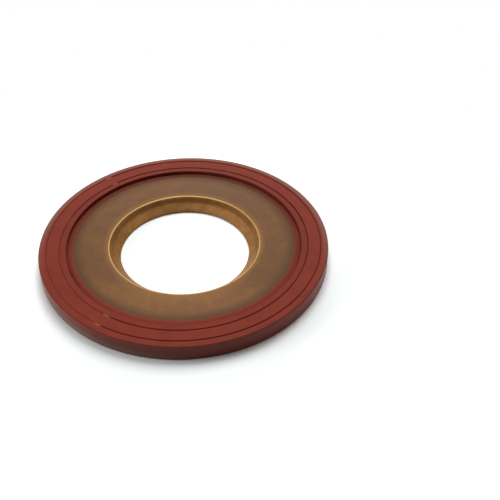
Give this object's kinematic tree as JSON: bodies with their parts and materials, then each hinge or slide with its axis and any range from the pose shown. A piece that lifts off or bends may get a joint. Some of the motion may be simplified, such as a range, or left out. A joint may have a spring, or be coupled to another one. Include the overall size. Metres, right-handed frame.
{
  "type": "shaft seal",
  "caption": "Flat round shaft seal: a moulded rubber ring with fine grooves in its sealing face, bonded round a pressed steel plate with a funnel-shaped collar at the bore.",
  "frame": {"origin": "on the seal's axis, in the plane of the rubber ring's base", "axes": "+Z along the axis, out of the grooved sealing face; X and Y are free, because the seal is turned"},
  "size_m": [0.12, 0.12, 0.007],
  "materials": {
    "rubber": "matte",
    "steel": "satin"
  },
  "bodies": {
    "root": {"rubber_ring": "rubber", "steel_plate": "steel"}
  },
  "joints": []
}
